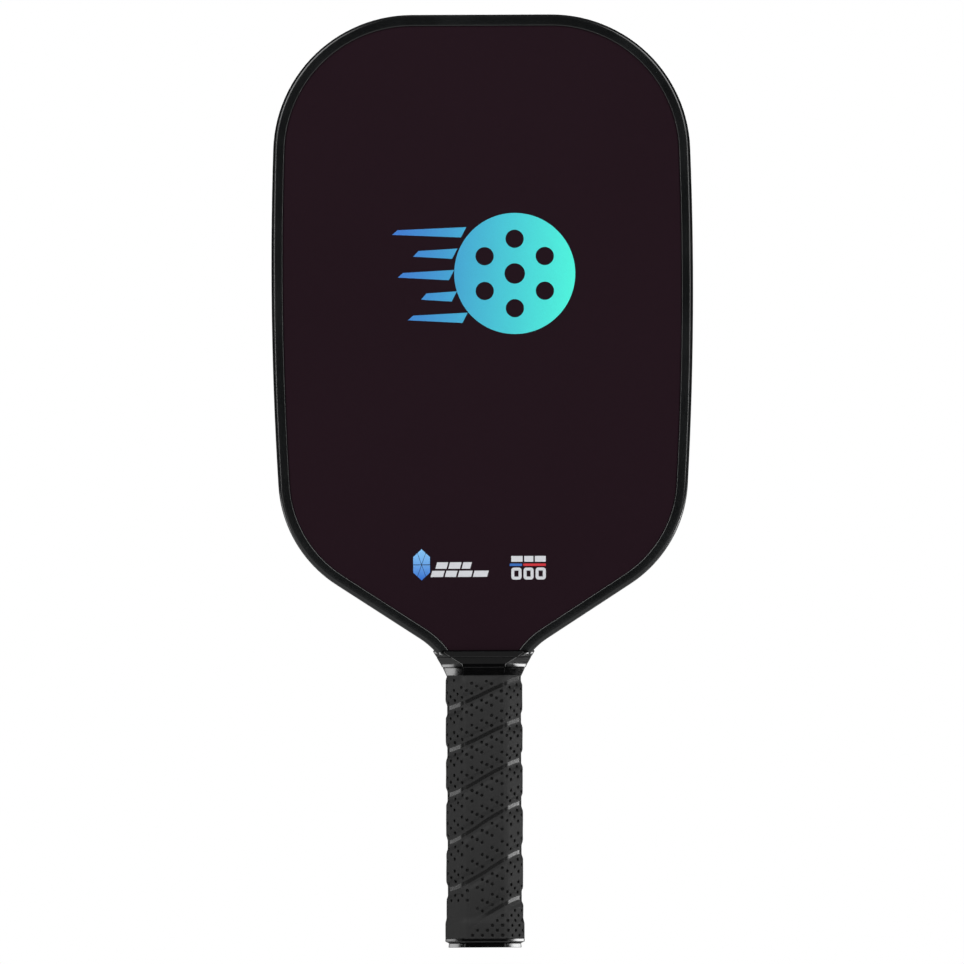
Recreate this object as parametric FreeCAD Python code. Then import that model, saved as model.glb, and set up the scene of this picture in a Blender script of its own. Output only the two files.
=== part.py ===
import FreeCAD, Part

# A pickleball paddle. A honeycomb panel with a thin sheet bonded on each side is the
# head and, cut narrower, the tongue in the handle. Two half shells build the tongue up
# to an eight-sided handle, which a perforated tape covers. An edge guard runs round the
# head, a moulded collar covers the throat and a cap closes the butt.
# X is the width, Y the thickness with the front face towards -Y, and Z runs up from the
# butt end to the top of the head. All lengths are in millimetres.

import math
import os

# Outline of the head, measured on the outside of the edge guard.
overall_length = 419.1
head_width = 189.4
widest_height = 301.6
side_radius = 1607.0
top_corner_radius = 62.4
lower_corner_radius = 56.9
shoulder_angle = 33.0
neck_radius = 33.0
neck_base_height = 111.1

# Panel.
core_thickness = 13.0
bond_thickness = 0.15
sheet_thickness = 0.5
tongue_width = 24.0
tongue_bottom = 4.0
cell_size = 8.0
cell_wall = 0.35
edge_wall = 0.4
smallest_cell_area = 3.0
fix_precision = 1e-5
fix_limit = 1e-4

# Edge guard and the tape that holds it.
guard_web = 1.2
guard_reach = 5.2
guard_lip = 0.9
guard_outer_round = 1.7
guard_tip_round = 0.3
guard_tape = 0.4
guard_end_height = 128.5

# Handle. The octagon is the outside of the tape wound on the handle.
grip_half_width = 16.6
grip_half_depth = 14.8
grip_corner = 7.3
wrap_thickness = 1.8
wrap_top = 121.9
wrap_tail_top = 124.2
wrap_tail_thickness = 0.7
pallet_top = 126.5
pallet_tape = 0.2
pocket_depth = 3.4
pocket_width = 8.0
pocket_length = 14.0
pocket_pitch = 19.0
pocket_first_height = 22.0
pockets_in_a_column = 5
pocket_column_offset = 5.6
finishing_tape = 0.25
finishing_tape_top = 124.4

# Collar. Each row is a height, half width, half depth and corner size of its outside.
collar_sections = [
    (121.9, 16.8, 15.0, 7.4),
    (125.8, 18.6, 15.2, 7.6),
    (127.3, 19.4, 15.0, 7.8),
    (130.6, 21.4, 11.6, 6.6),
    (132.9, 22.7, 9.4, 5.2),
    (133.5, 22.4, 8.9, 4.9),
]

# Butt cap, its end plate and its staples.
end_plate_thickness = 1.9
end_plate_inset = 0.25
end_plate_round = 0.3
end_boss_radius = 6.0
end_boss_height = 1.5
rim_outset = 1.15
rim_slope_height = 0.8
cap_wall = 1.1
cap_wall_top = 14.0
cap_taper_height = 3.0
cap_tip_wall = 0.3
flare_top = 12.5
flare_end = 15.5
staple_width = 10.0
staple_wire = 0.6
staple_depth = 1.0
staple_leg = 4.0
staple_height = 7.5

# Sizes that follow from the ones above.
panel_half = core_thickness / 2 + bond_thickness + sheet_thickness
panel_inset = guard_web + guard_tape
guard_half = panel_half + guard_lip
neck_outer_half = tongue_width / 2 + panel_inset
corner_share = 2 - math.sqrt(2)


def point(x, z):
    return FreeCAD.Vector(x, 0, z)


def on_circle(centre, radius, angle):
    return (centre[0] + radius * math.cos(angle), centre[1] + radius * math.sin(angle))


def arc(centre, radius, start, end, side):
    """An arc of the outline, between two angles, on the right (1) or the left (-1)."""
    middle = (start + end) / 2
    places = [on_circle(centre, radius, angle) for angle in (start, middle, end)]
    first, second, third = [point(side * x, z) for x, z in places]
    return Part.Arc(first, second, third).toShape()


def outline_centres():
    """The centres of the outline's arcs on the right, and the angles where they meet."""
    slope = math.radians(shoulder_angle)
    side = (head_width / 2 - side_radius, widest_height)
    top_z = overall_length - top_corner_radius
    top_reach = side_radius - top_corner_radius
    top_x = side[0] + math.sqrt(top_reach**2 - (top_z - side[1]) ** 2)
    top = (top_x, top_z)
    neck = (neck_outer_half + neck_radius, neck_base_height)
    neck_end = on_circle(neck, neck_radius, slope + math.pi / 2)
    along = (math.cos(slope), math.sin(slope))
    inward = (-math.sin(slope), math.cos(slope))
    from_side_x = neck_end[0] + lower_corner_radius * inward[0] - side[0]
    from_side_z = neck_end[1] + lower_corner_radius * inward[1] - side[1]
    forward = from_side_x * along[0] + from_side_z * along[1]
    lower_reach = side_radius - lower_corner_radius
    surplus = from_side_x**2 + from_side_z**2 - lower_reach**2
    run = math.sqrt(forward**2 - surplus) - forward
    lower_x = side[0] + from_side_x + run * along[0]
    lower_z = side[1] + from_side_z + run * along[1]
    lower = (lower_x, lower_z)
    top_angle = math.atan2(top[1] - side[1], top[0] - side[0])
    lower_angle = math.atan2(lower[1] - side[1], lower[0] - side[0])
    return top, side, lower, neck, top_angle, lower_angle


def half_outline(inset, side):
    """The edges of one half of the outline, moved inwards, from the top to the tongue."""
    top, wide, lower, neck, top_angle, lower_angle = outline_centres()
    slope = math.radians(shoulder_angle)
    across = slope - math.pi / 2
    upright = math.pi / 2
    neck_turn = upright + slope
    corner = arc(top, top_corner_radius - inset, upright, top_angle, side)
    flank = arc(wide, side_radius - inset, top_angle, lower_angle, side)
    shoulder = arc(lower, lower_corner_radius - inset, lower_angle, across, side)
    slope_start = on_circle(lower, lower_corner_radius - inset, across)
    slope_end = on_circle(neck, neck_radius + inset, neck_turn)
    start = point(side * slope_start[0], slope_start[1])
    end = point(side * slope_end[0], slope_end[1])
    straight = Part.makeLine(start, end)
    throat = arc(neck, neck_radius + inset, neck_turn, math.pi, side)
    half_tongue = neck_outer_half - inset
    tongue_start = point(side * half_tongue, neck_base_height)
    tongue_end = point(side * half_tongue, tongue_bottom)
    tongue = Part.makeLine(tongue_start, tongue_end)
    return [corner, flank, shoulder, straight, throat, tongue]


def outline_wire(inset):
    """The closed outline of the head and tongue, moved inwards all round."""
    top_x = outline_centres()[0][0]
    top_z = overall_length - inset
    half_tongue = neck_outer_half - inset
    top_line = Part.makeLine(point(-top_x, top_z), point(top_x, top_z))
    bottom_right = point(half_tongue, tongue_bottom)
    bottom_left = point(-half_tongue, tongue_bottom)
    bottom_line = Part.makeLine(bottom_right, bottom_left)
    edges = half_outline(inset, 1) + half_outline(inset, -1) + [top_line, bottom_line]
    return Part.Wire(Part.__sortEdges__(edges))


def plate(inset, front, back):
    """A plate with the outline, moved inwards, between two depths."""
    face = Part.Face(outline_wire(inset))
    face.translate(FreeCAD.Vector(0, front, 0))
    return face.extrude(FreeCAD.Vector(0, back - front, 0))


def octagon(half_width, half_depth, corner, height):
    """The eight-sided outline of the handle at one height."""
    flat_x = half_width - corner
    flat_y = half_depth - corner
    places = [
        (half_width, -flat_y),
        (half_width, flat_y),
        (flat_x, half_depth),
        (-flat_x, half_depth),
        (-half_width, flat_y),
        (-half_width, -flat_y),
        (-flat_x, -half_depth),
        (flat_x, -half_depth),
        (half_width, -flat_y),
    ]
    return Part.makePolygon([FreeCAD.Vector(x, y, height) for x, y in places])


def grip_octagon(inset, height):
    """The octagon of the wound handle, moved inwards by the same amount all round."""
    half_width = grip_half_width - inset
    half_depth = grip_half_depth - inset
    corner = grip_corner - corner_share * inset
    return octagon(half_width, half_depth, corner, height)


def grip_prism(inset, bottom, top):
    face = Part.Face(grip_octagon(inset, bottom))
    return face.extrude(FreeCAD.Vector(0, 0, top - bottom))


def grip_taper(bottom_inset, bottom, top_inset, top):
    sections = [grip_octagon(bottom_inset, bottom), grip_octagon(top_inset, top)]
    return Part.makeLoft(sections, True, True)


def box(centre_x, width, front, back, bottom, top):
    corner = FreeCAD.Vector(centre_x - width / 2, front, bottom)
    return Part.makeBox(width, back - front, top - bottom, corner)


def hexagon(x, z, across_flats):
    """A hexagon with two flats upright, as a closed wire."""
    radius = across_flats / math.sqrt(3)
    angles = [math.radians(30 + 60 * turn) for turn in range(7)]
    places = [(x + radius * math.cos(a), z + radius * math.sin(a)) for a in angles]
    return Part.makePolygon([point(px, pz) for px, pz in places])


def cell_centres():
    """The centres of the cells of a honeycomb that is larger than the panel."""
    row_height = cell_size * math.sqrt(3) / 2
    rows = int(overall_length / row_height) + 2
    columns = int(head_width / cell_size / 2) + 2
    for row in range(rows):
        shift = cell_size / 2 if row % 2 else 0
        for column in range(-columns, columns + 1):
            yield column * cell_size + shift, row * row_height


def cell_wires():
    """The hexagonal holes of the core. A hole at the panel's edge is cut by it."""
    limit = Part.Face(outline_wire(panel_inset + edge_wall))
    bounds = limit.BoundBox
    wires = []
    for x, z in cell_centres():
        wire = hexagon(x, z, cell_size - cell_wall)
        if not bounds.intersect(wire.BoundBox):
            continue
        inside = [limit.isInside(v.Point, 1e-4, True) for v in wire.Vertexes]
        if all(inside):
            wires.append(wire)
            continue
        parts = Part.Face(wire).common(limit).Faces
        wires += [part.OuterWire for part in parts if part.Area > smallest_cell_area]
    return wires


def honeycomb_core():
    face = Part.Face([outline_wire(panel_inset)] + cell_wires())
    face.fix(fix_precision, fix_precision, fix_limit)
    face.translate(FreeCAD.Vector(0, -core_thickness / 2, 0))
    return face.extrude(FreeCAD.Vector(0, core_thickness, 0))


def bond_film(side):
    """The film of adhesive between the core and a sheet."""
    inner = side * core_thickness / 2
    return plate(panel_inset, inner, inner + side * bond_thickness)


def face_sheet(side):
    inner = side * (core_thickness / 2 + bond_thickness)
    return plate(panel_inset, inner, inner + side * sheet_thickness)


def corner_arc(y, z, radius, start):
    """A quarter circle across the thickness, from an angle in degrees."""
    angles = [math.radians(start + step) for step in (0, 45, 90)]
    places = [(y + radius * math.cos(a), z + radius * math.sin(a)) for a in angles]
    first, middle, last = [FreeCAD.Vector(0, py, pz) for py, pz in places]
    return Part.Arc(first, middle, last).toShape()


def cross_line(y1, z1, y2, z2):
    return Part.makeLine(FreeCAD.Vector(0, y1, z1), FreeCAD.Vector(0, y2, z2))


def guard_section():
    """The guard's section at the top of the head: a web and two lips, outside rounded."""
    top = overall_length
    web = top - guard_web
    tip = top - guard_reach
    shoulder = guard_half - guard_outer_round
    nose = guard_half - guard_tip_round
    edges = [
        cross_line(-shoulder, top, shoulder, top),
        corner_arc(shoulder, top - guard_outer_round, guard_outer_round, 0),
        cross_line(guard_half, top - guard_outer_round, guard_half, tip + guard_tip_round),
        corner_arc(nose, tip + guard_tip_round, guard_tip_round, 270),
        cross_line(nose, tip, panel_half, tip),
        cross_line(panel_half, tip, panel_half, web),
        cross_line(panel_half, web, -panel_half, web),
        cross_line(-panel_half, web, -panel_half, tip),
        cross_line(-panel_half, tip, -nose, tip),
        corner_arc(-nose, tip + guard_tip_round, guard_tip_round, 180),
        cross_line(-guard_half, tip + guard_tip_round, -guard_half, top - guard_outer_round),
        corner_arc(-shoulder, top - guard_outer_round, guard_outer_round, 90),
    ]
    return Part.Face(Part.Wire(Part.__sortEdges__(edges)))


def guard_tape_section():
    """The section of the tape on the panel's edge, at the top of the head."""
    outer = overall_length - guard_web
    inner = overall_length - panel_inset
    corners = [
        (-panel_half, inner),
        (panel_half, inner),
        (panel_half, outer),
        (-panel_half, outer),
        (-panel_half, inner),
    ]
    return Part.Face(Part.makePolygon([FreeCAD.Vector(0, y, z) for y, z in corners]))


def turned(shape, centre, axis, angle):
    copy = shape.copy()
    copy.rotate(point(*centre), axis, angle)
    return copy


def round_the_head(section):
    """A section swept along the outline, from one end of the guard to the other."""
    top, side, lower, neck, top_angle, lower_angle = outline_centres()
    slope = math.radians(shoulder_angle)
    across = slope - math.pi / 2
    neck_start = slope + math.pi / 2
    rise = (guard_end_height - neck_base_height) / neck_radius
    neck_end = math.pi - math.asin(rise)
    clockwise = FreeCAD.Vector(0, 1, 0)
    pieces = [section.extrude(FreeCAD.Vector(top[0], 0, 0))]
    section = section.copy()
    section.translate(FreeCAD.Vector(top[0], 0, 0))
    bends = [
        (top, math.pi / 2 - top_angle),
        (side, top_angle - lower_angle),
        (lower, lower_angle - across),
    ]
    for centre, turn in bends:
        angle = math.degrees(turn)
        pieces.append(section.revolve(point(*centre), clockwise, angle))
        section = turned(section, centre, clockwise, angle)
    slope_start = on_circle(lower, lower_corner_radius, across)
    slope_end = on_circle(neck, neck_radius, neck_start)
    run = point(*slope_end) - point(*slope_start)
    pieces.append(section.extrude(run))
    section.translate(run)
    last = math.degrees(neck_end - neck_start)
    pieces.append(section.revolve(point(*neck), -clockwise, last))
    half = pieces[0].fuse(pieces[1:])
    mirror_plane = FreeCAD.Vector(1, 0, 0)
    other = half.mirror(FreeCAD.Vector(0, 0, 0), mirror_plane)
    return half.fuse(other).removeSplitter()


def edge_guard():
    """A channel round the head: a web on the panel's edge and a lip over each face."""
    return round_the_head(guard_section())


def edge_guard_tape():
    """Double-sided tape between the panel's edge and the guard's web."""
    return round_the_head(guard_tape_section())


def pallet_solid():
    """The octagon that the two half shells fill, with the tongue's place cut out."""
    solid = grip_prism(wrap_thickness, tongue_bottom, pallet_top)
    depth = panel_half + pallet_tape
    return solid.cut(plate(panel_inset, -depth, depth))


def pallet_pockets(side):
    """Hollows on the inner side of a half shell, which make it lighter."""
    inner = panel_half + pallet_tape
    outer = inner + pocket_depth
    front = min(side * inner, side * outer)
    back = max(side * inner, side * outer)
    pockets = []
    for count in range(pockets_in_a_column):
        bottom = pocket_first_height + count * pocket_pitch
        top = bottom + pocket_length
        for x in (-pocket_column_offset, pocket_column_offset):
            pockets.append(box(x, pocket_width, front, back, bottom, top))
    return Part.makeCompound(pockets)


def handle_pallet(side):
    """One of the two half shells that build the tongue up to the handle's shape."""
    depth = 2 * grip_half_depth
    front = min(0, side * depth)
    back = max(0, side * depth)
    keep = box(0, 4 * grip_half_width, front, back, 0, overall_length)
    half = pallet_solid().common(keep)
    return half.cut(pallet_pockets(side)).cut(staple(side))


def pallet_tape_strip(side):
    """Double-sided tape between the tongue and a half shell."""
    inner = side * panel_half
    outer = side * (panel_half + pallet_tape)
    front = min(inner, outer)
    back = max(inner, outer)
    return box(0, tongue_width, front, back, tongue_bottom, pallet_top)


def staple(side):
    """A wire staple through the cap's wall into a half shell, lying flush in the wall."""
    outer = grip_half_depth - wrap_thickness + cap_wall
    front = min(side * (outer - staple_wire), side * outer)
    back = max(side * (outer - staple_wire), side * outer)
    bottom = staple_height - staple_depth / 2
    top = staple_height + staple_depth / 2
    crown = box(0, staple_width, front, back, bottom, top)
    leg_front = min(side * (outer - staple_leg), side * outer)
    leg_back = max(side * (outer - staple_leg), side * outer)
    leg_x = (staple_width - staple_wire) / 2
    legs = [
        box(x, staple_wire, leg_front, leg_back, bottom, top) for x in (-leg_x, leg_x)
    ]
    return crown.fuse(legs).removeSplitter()


def staples():
    return Part.makeCompound([staple(-1), staple(1)])


def collar_block():
    """The outside of the collar, filled."""
    sections = [octagon(a, b, corner, z) for z, a, b, corner in collar_sections]
    return Part.makeLoft(sections, True, True)


def wrap_tail(inset):
    """The thinned end of the grip tape under the collar, with its inside filled."""
    return grip_prism(inset, wrap_top, wrap_tail_top)


def throat_collar(guard, guard_tape_solid):
    """The sleeve that hides the ends of the guard and of the grip tape."""
    tail_inset = wrap_thickness - wrap_tail_thickness
    tape_inset = tail_inset - finishing_tape
    block = collar_block()
    block = block.cut(grip_prism(wrap_thickness, wrap_top, pallet_top))
    block = block.cut(grip_prism(tape_inset, wrap_top, finishing_tape_top))
    block = block.cut(plate(panel_inset, -panel_half, panel_half))
    return block.cut(guard_tape_solid).cut(guard)


def finishing_band():
    """The thin tape wound over the end of the grip tape."""
    tail_inset = wrap_thickness - wrap_tail_thickness
    outer = grip_prism(tail_inset - finishing_tape, wrap_top, finishing_tape_top)
    inner = grip_prism(tail_inset, wrap_top, wrap_tail_top)
    core = grip_prism(wrap_thickness, wrap_top, finishing_tape_top)
    return outer.cut(inner).cut(core)


def cap_wall_solid():
    """The wall of the butt cap round the handle, thinner towards its top, filled."""
    wall_inset = wrap_thickness - cap_wall
    tip_inset = wrap_thickness - cap_tip_wall
    straight_top = cap_wall_top - cap_taper_height
    straight = grip_prism(wall_inset, end_plate_thickness, straight_top)
    taper = grip_taper(wall_inset, straight_top, tip_inset, cap_wall_top)
    return straight.fuse(taper).removeSplitter()


def grip_wrap():
    """The cushioned tape wound round the handle, as one sleeve."""
    tail_inset = wrap_thickness - wrap_tail_thickness
    body = grip_prism(0, flare_end, wrap_top)
    slope = grip_taper(-rim_outset, flare_top, 0, flare_end)
    flare = grip_prism(-rim_outset, tongue_bottom, flare_top)
    tail = wrap_tail(tail_inset)
    solid = body.fuse([slope, flare, tail]).removeSplitter()
    handle = grip_prism(wrap_thickness, 0, overall_length / 2)
    return solid.cut(handle).cut(cap_wall_solid())


def butt_cap():
    """The moulded cap: a floor with a rim, and a wall round the end of the handle."""
    slope_top = end_plate_thickness + rim_slope_height
    slope = grip_taper(end_plate_inset, end_plate_thickness, -rim_outset, slope_top)
    rim = grip_prism(-rim_outset, slope_top, tongue_bottom)
    solid = slope.fuse([rim, cap_wall_solid()]).removeSplitter()
    handle = grip_prism(wrap_thickness, tongue_bottom, overall_length / 2)
    solid = solid.cut(handle)
    hole = Part.makeCylinder(end_boss_radius, tongue_bottom)
    return solid.cut(hole).cut(staples())


def butt_end_plate():
    """The plate that closes the butt cap, with a round boss in the cap's hole."""
    disc = grip_prism(end_plate_inset, 0, end_plate_thickness)
    bottom_edges = [edge for edge in disc.Edges if edge.BoundBox.ZMax < 1e-4]
    disc = disc.makeFillet(end_plate_round, bottom_edges)
    top = FreeCAD.Vector(0, 0, end_plate_thickness)
    boss = Part.makeCylinder(end_boss_radius, end_boss_height, top)
    return disc.fuse(boss).removeSplitter()


def main():
    guard = edge_guard()
    guard_tape_solid = edge_guard_tape()
    nodes = {
        "honeycomb_core": honeycomb_core(),
        "front_bond_film": bond_film(-1),
        "back_bond_film": bond_film(1),
        "front_face_sheet": face_sheet(-1),
        "back_face_sheet": face_sheet(1),
        "edge_guard": guard,
        "edge_guard_tape": guard_tape_solid,
        "front_handle_pallet": handle_pallet(-1),
        "back_handle_pallet": handle_pallet(1),
        "front_pallet_tape": pallet_tape_strip(-1),
        "back_pallet_tape": pallet_tape_strip(1),
        "throat_collar": throat_collar(guard, guard_tape_solid),
        "finishing_tape": finishing_band(),
        "grip_wrap": grip_wrap(),
        "butt_cap": butt_cap(),
        "butt_end_plate": butt_end_plate(),
        "butt_cap_staples": staples(),
    }
    os.makedirs("parts", exist_ok=True)
    for name, shape in nodes.items():
        shape.exportStep(os.path.join("parts", name + ".step"))
        volume = shape.Volume / 1000
        print(name, shape.ShapeType, len(shape.Solids), shape.isValid(), round(volume, 2))


main()
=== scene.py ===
import math
import random

import bmesh
import bpy
from bpy.props import FloatProperty, FloatVectorProperty, PointerProperty
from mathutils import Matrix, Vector


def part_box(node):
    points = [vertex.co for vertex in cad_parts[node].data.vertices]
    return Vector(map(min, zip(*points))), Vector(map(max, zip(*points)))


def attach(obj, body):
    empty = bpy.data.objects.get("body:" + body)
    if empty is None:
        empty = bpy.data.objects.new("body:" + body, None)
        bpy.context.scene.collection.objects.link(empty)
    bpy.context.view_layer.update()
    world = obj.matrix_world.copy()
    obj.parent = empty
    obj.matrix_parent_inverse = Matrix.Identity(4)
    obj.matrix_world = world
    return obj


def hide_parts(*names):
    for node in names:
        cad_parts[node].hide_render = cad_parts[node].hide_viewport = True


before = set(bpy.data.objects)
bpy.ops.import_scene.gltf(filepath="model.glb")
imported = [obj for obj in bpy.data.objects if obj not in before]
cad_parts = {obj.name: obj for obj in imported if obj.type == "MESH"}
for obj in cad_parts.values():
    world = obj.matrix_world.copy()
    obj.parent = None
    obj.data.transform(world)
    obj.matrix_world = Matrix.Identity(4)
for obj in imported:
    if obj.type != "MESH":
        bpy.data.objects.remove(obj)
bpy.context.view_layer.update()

bl_info = {
    "name": "Pickleball Paddle",
    "version": (1, 0, 0),
    "blender": (4, 5, 0),
    "location": "3D View > Sidebar > Paddle",
    "description": "Models the visible pieces of a pickleball paddle round its frame",
    "category": "Add Mesh",
}

MM = 0.001
BODY = "root"
# Two places this near to each other, in metres, are the same.
NEAR = 1e-6
# The merge distances for the thin printed marks and for the grip tape, in metres.
FINE_MERGE = 1e-7
TAPE_MERGE = 2e-6
# The turn that stands a flat primitive up, so that it faces the front.
UPRIGHT = (math.pi / 2, 0, 0)


def length(name, description, millimetres):
    """A size that a user may change, in metres, with its default in millimetres."""
    return FloatProperty(
        name=name,
        description=description,
        default=millimetres * MM,
        unit="LENGTH",
        subtype="DISTANCE",
        precision=5,
    )


def colour(name, description, value):
    return FloatVectorProperty(
        name=name, description=description, default=value, size=3, subtype="COLOR", min=0, max=1
    )


class HeadSizes(bpy.types.PropertyGroup):
    """Sizes of the head's outline and of the edge guard."""

    top: length("Top", "Height of the head's top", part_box("edge_guard")[1].z / MM)
    half_width: length("Half width", "Half the width of the head", 94.7)
    widest: length("Widest height", "Height where the head is widest", 301.6)
    side_radius: length("Side radius", "Radius of the sides", 1607.0)
    top_radius: length("Top radius", "Radius of the upper corners", 62.4)
    lower_radius: length("Lower radius", "Radius of the lower corners", 56.9)
    neck_radius: length("Neck radius", "Radius where the head meets the handle", 33.0)
    neck_height: length("Neck height", "Height of the middle of the neck's bend", 111.1)
    tongue: length("Neck half width", "Half width of the guard's line in the handle", 13.6)
    guard_end: length("Guard end", "Height where the edge guard stops", 128.5)
    panel_half: length("Panel half", "Half the thickness of the panel", 7.15)
    guard_half: length("Guard half", "Half the thickness of the edge guard", 8.05)
    web: length("Web", "Thickness of the guard's web", 1.2)
    reach: length("Reach", "How far the guard's lip covers the face", 5.2)
    outer_round: length("Outer round", "Rounding of the guard's outer corners", 1.8)
    tip_round: length("Tip round", "Rounding of the guard's lip", 0.62)


class HandleSizes(bpy.types.PropertyGroup):
    """Sizes of the wound handle, the collar and the butt."""

    half_width: length("Half width", "Half the width of the wound handle", 16.6)
    half_depth: length("Half depth", "Half the depth of the wound handle", 14.8)
    corner: length("Corner", "Size of the handle's bevelled corners", 7.3)
    rounding: length("Rounding", "Rounding of the wound handle's edges", 4.2)
    wrap_bottom: length("Wrap bottom", "Height of the tape's lower end", 4.0)
    wrap_top: length("Wrap top", "Height of the tape's upper end", 122.3)
    valley: length("Valley", "Depth of the dip along the tape's edge", 0.42)
    crown: length("Crown", "Height of the tape's cushion", 0.62)
    flare: length("Flare", "How far the tape stands out at the butt", 1.2)
    hole: length("Hole", "Radius of the tape's holes", 0.69)
    hole_depth: length("Hole depth", "Depth of the tape's holes", 0.85)


class Finishes(bpy.types.PropertyGroup):
    """Colours of the visible pieces."""

    face: colour("Face", "Matt laminate of the hitting faces", (0.0126, 0.0054, 0.0086))
    guard: colour("Guard", "Satin plastic of the edge guard", (0.0030, 0.0034, 0.0036))
    collar: colour("Collar", "Polished plastic of the collar", (0.0010, 0.0010, 0.0011))
    grip: colour("Grip", "Dull synthetic leather of the tape", (0.0100, 0.0100, 0.0100))
    cap: colour("Cap", "Plastic of the butt cap", (0.0014, 0.0014, 0.0015))
    print_left: colour("Print left", "Left end of the printed blend", (0.042, 0.170, 0.55))
    print_right: colour("Print right", "Right end of the printed blend", (0.064, 0.82, 0.65))
    print_light: colour("Print light", "Ink of the bars and blocks", (0.60, 0.61, 0.64))
    print_red: colour("Print red", "Red ink", (0.55, 0.03, 0.04))
    print_grit: colour("Print grit", "Grit that shows through the blend", (0.02, 0.02, 0.03))
    icon_low: colour("Icon low", "Lower end of the icon's blend", (0.02, 0.13, 0.55))
    icon_high: colour("Icon high", "Upper end of the icon's blend", (0.22, 0.52, 0.85))
    floor: colour("Floor", "Floor under the paddle", (0.80, 0.80, 0.80))


# ---------------------------------------------------------------- modelling


def start_clean():
    """Object mode with nothing selected."""
    if bpy.context.object and bpy.context.object.mode != "OBJECT":
        bpy.ops.object.mode_set(mode="OBJECT")
    bpy.ops.object.select_all(action="DESELECT")
    bpy.context.view_layer.objects.active = None


def choose(piece):
    """One piece selected and active, in object mode."""
    start_clean()
    piece.select_set(True)
    bpy.context.view_layer.objects.active = piece


def edit(piece):
    """Edit mode on one piece, with nothing selected in it."""
    choose(piece)
    bpy.ops.object.mode_set(mode="EDIT")
    bpy.ops.mesh.select_mode(type="VERT")
    bpy.ops.mesh.select_all(action="DESELECT")


def pick(piece, kind, test):
    """Selects just the vertices, edges or faces of a piece for which test is true."""
    mode = {"verts": "VERT", "edges": "EDGE", "faces": "FACE"}[kind]
    bpy.ops.mesh.select_mode(type=mode)
    bpy.ops.mesh.select_all(action="DESELECT")
    mesh = bmesh.from_edit_mesh(piece.data)
    for part in getattr(mesh, kind):
        if test(part):
            part.select_set(True)
    mesh.select_flush_mode()
    bmesh.update_edit_mesh(piece.data)


def middle(part):
    """The middle of an edge or face."""
    total = Vector((0, 0, 0))
    for vertex in part.verts:
        total += vertex.co
    return total / len(part.verts)


def settle(piece):
    """Moves an object's place, turn and scale into its mesh."""
    choose(piece)
    bpy.ops.object.transform_apply(location=True, rotation=True, scale=True)
    return piece


def tidy_surface(piece, merge=NEAR):
    """Merges doubles and turns every face outwards."""
    edit(piece)
    bpy.ops.mesh.select_all(action="SELECT")
    bpy.ops.mesh.remove_doubles(threshold=merge)
    bpy.ops.mesh.normals_make_consistent(inside=False)
    bpy.ops.object.mode_set(mode="OBJECT")


def smooth(piece, degrees):
    choose(piece)
    bpy.ops.object.shade_smooth_by_angle(angle=math.radians(degrees))


def apply_modifier(piece, kind, **settings):
    choose(piece)
    modifier = piece.modifiers.new(kind.title(), kind)
    for name, value in settings.items():
        setattr(modifier, name, value)
    bpy.ops.object.modifier_apply(modifier=modifier.name)


def name_piece(piece, name):
    piece.name = name
    piece.data.name = name
    return piece


def join(pieces, name):
    start_clean()
    for piece in pieces:
        piece.select_set(True)
    bpy.context.view_layer.objects.active = pieces[0]
    bpy.ops.object.join()
    return name_piece(pieces[0], name)


def add_plane(centre, across, up):
    """An upright rectangle that faces the front, as a new piece in its place."""
    start_clean()
    bpy.ops.mesh.primitive_plane_add(size=1, location=centre, rotation=UPRIGHT)
    piece = bpy.context.object
    piece.scale = (across, up, 1)
    return settle(piece)


def paint(piece, material):
    """Gives a piece its one material."""
    piece.data.materials.clear()
    piece.data.materials.append(material)


def finish_piece(piece, material, slot, *replaced):
    """Gives a new piece its material and ties it to the frame."""
    paint(piece, material)
    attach(piece, BODY)
    if replaced:
        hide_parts(*replaced)


# ---------------------------------------------------------------- materials


# Places of the two colours and of the result among a Mix node's sockets.
MIX_COLOURS = (6, 7)
MIX_RESULT = 2


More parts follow.
